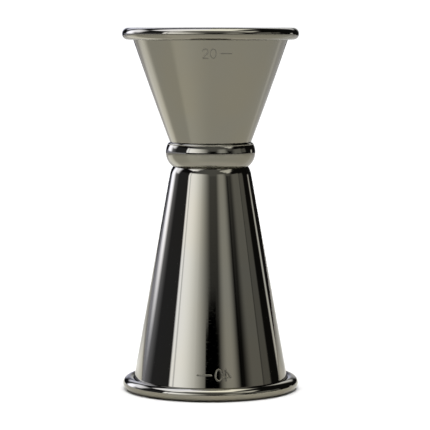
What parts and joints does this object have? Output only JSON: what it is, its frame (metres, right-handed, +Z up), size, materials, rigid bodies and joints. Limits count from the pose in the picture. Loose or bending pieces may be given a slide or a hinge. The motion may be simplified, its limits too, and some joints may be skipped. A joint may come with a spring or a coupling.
{
  "type": "bar jigger",
  "caption": "Double-ended spirit measure: a wide short cone over a tall slim cone, base to base, with rolled rims and a waist band.",
  "frame": {"origin": "centre of the lower mouth, on the plane that the lower rolled rim stands on", "axes": "+Z up along the cups' common axis, with the 20 ml cup upwards; -Y towards the side that carries the capacity numerals"},
  "size_m": [0.0456, 0.0456, 0.094],
  "materials": {
    "polished_steel": "mirror-polished stainless steel with a dark gunmetal coating",
    "band_steel": "mirror-polished stainless steel with a dark gunmetal coating",
    "weld_metal": "bare fused steel, unseen"
  },
  "bodies": {
    "root": {"lower_cup": "polished_steel", "upper_cup": "polished_steel", "waist_band": "band_steel", "weld_nuggets": "weld_metal"}
  },
  "joints": []
}
